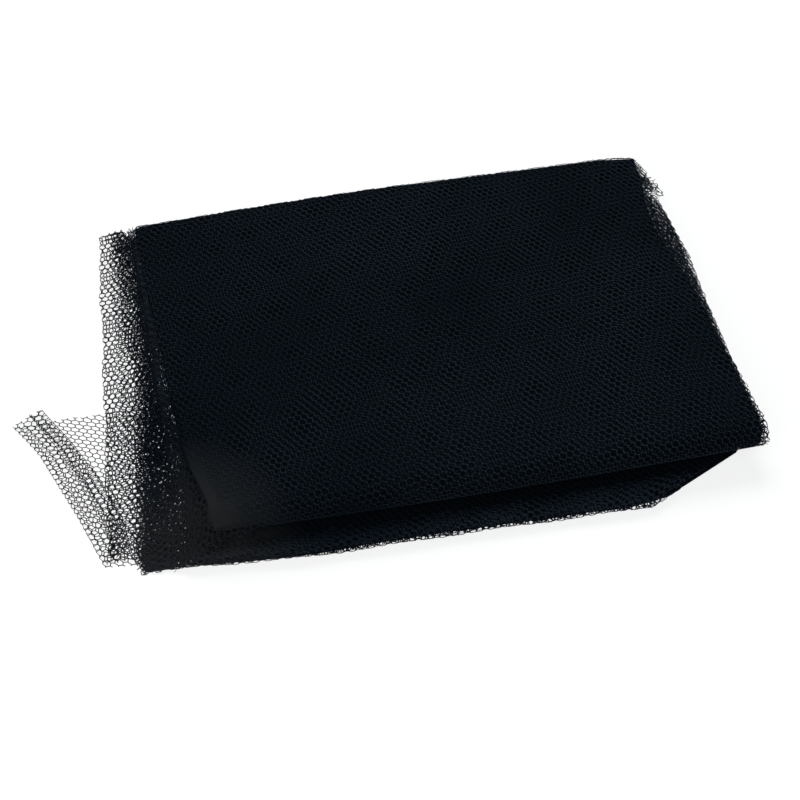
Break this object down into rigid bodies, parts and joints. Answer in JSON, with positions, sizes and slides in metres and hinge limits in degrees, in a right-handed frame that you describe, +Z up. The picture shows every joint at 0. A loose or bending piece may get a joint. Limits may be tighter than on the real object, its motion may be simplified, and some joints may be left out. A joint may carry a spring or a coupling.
{
  "type": "window insect screen",
  "caption": "Length of black hexagonal insect netting, folded flat into a packet, with one loose end folded back at its left front corner.",
  "frame": {"origin": "middle of the underside of the whole packet's box, on the surface it lies on", "axes": "+X along the long side of the packet, away from the loose end; +Y to the back, away from the rolled front fold; +Z up"},
  "size_m": [0.2214, 0.1336, 0.0182],
  "materials": {
    "black_net": "matte knitted polyester with hexagonal holes"
  },
  "bodies": {
    "root": {"folded_net": "black_net"}
  },
  "joints": []
}
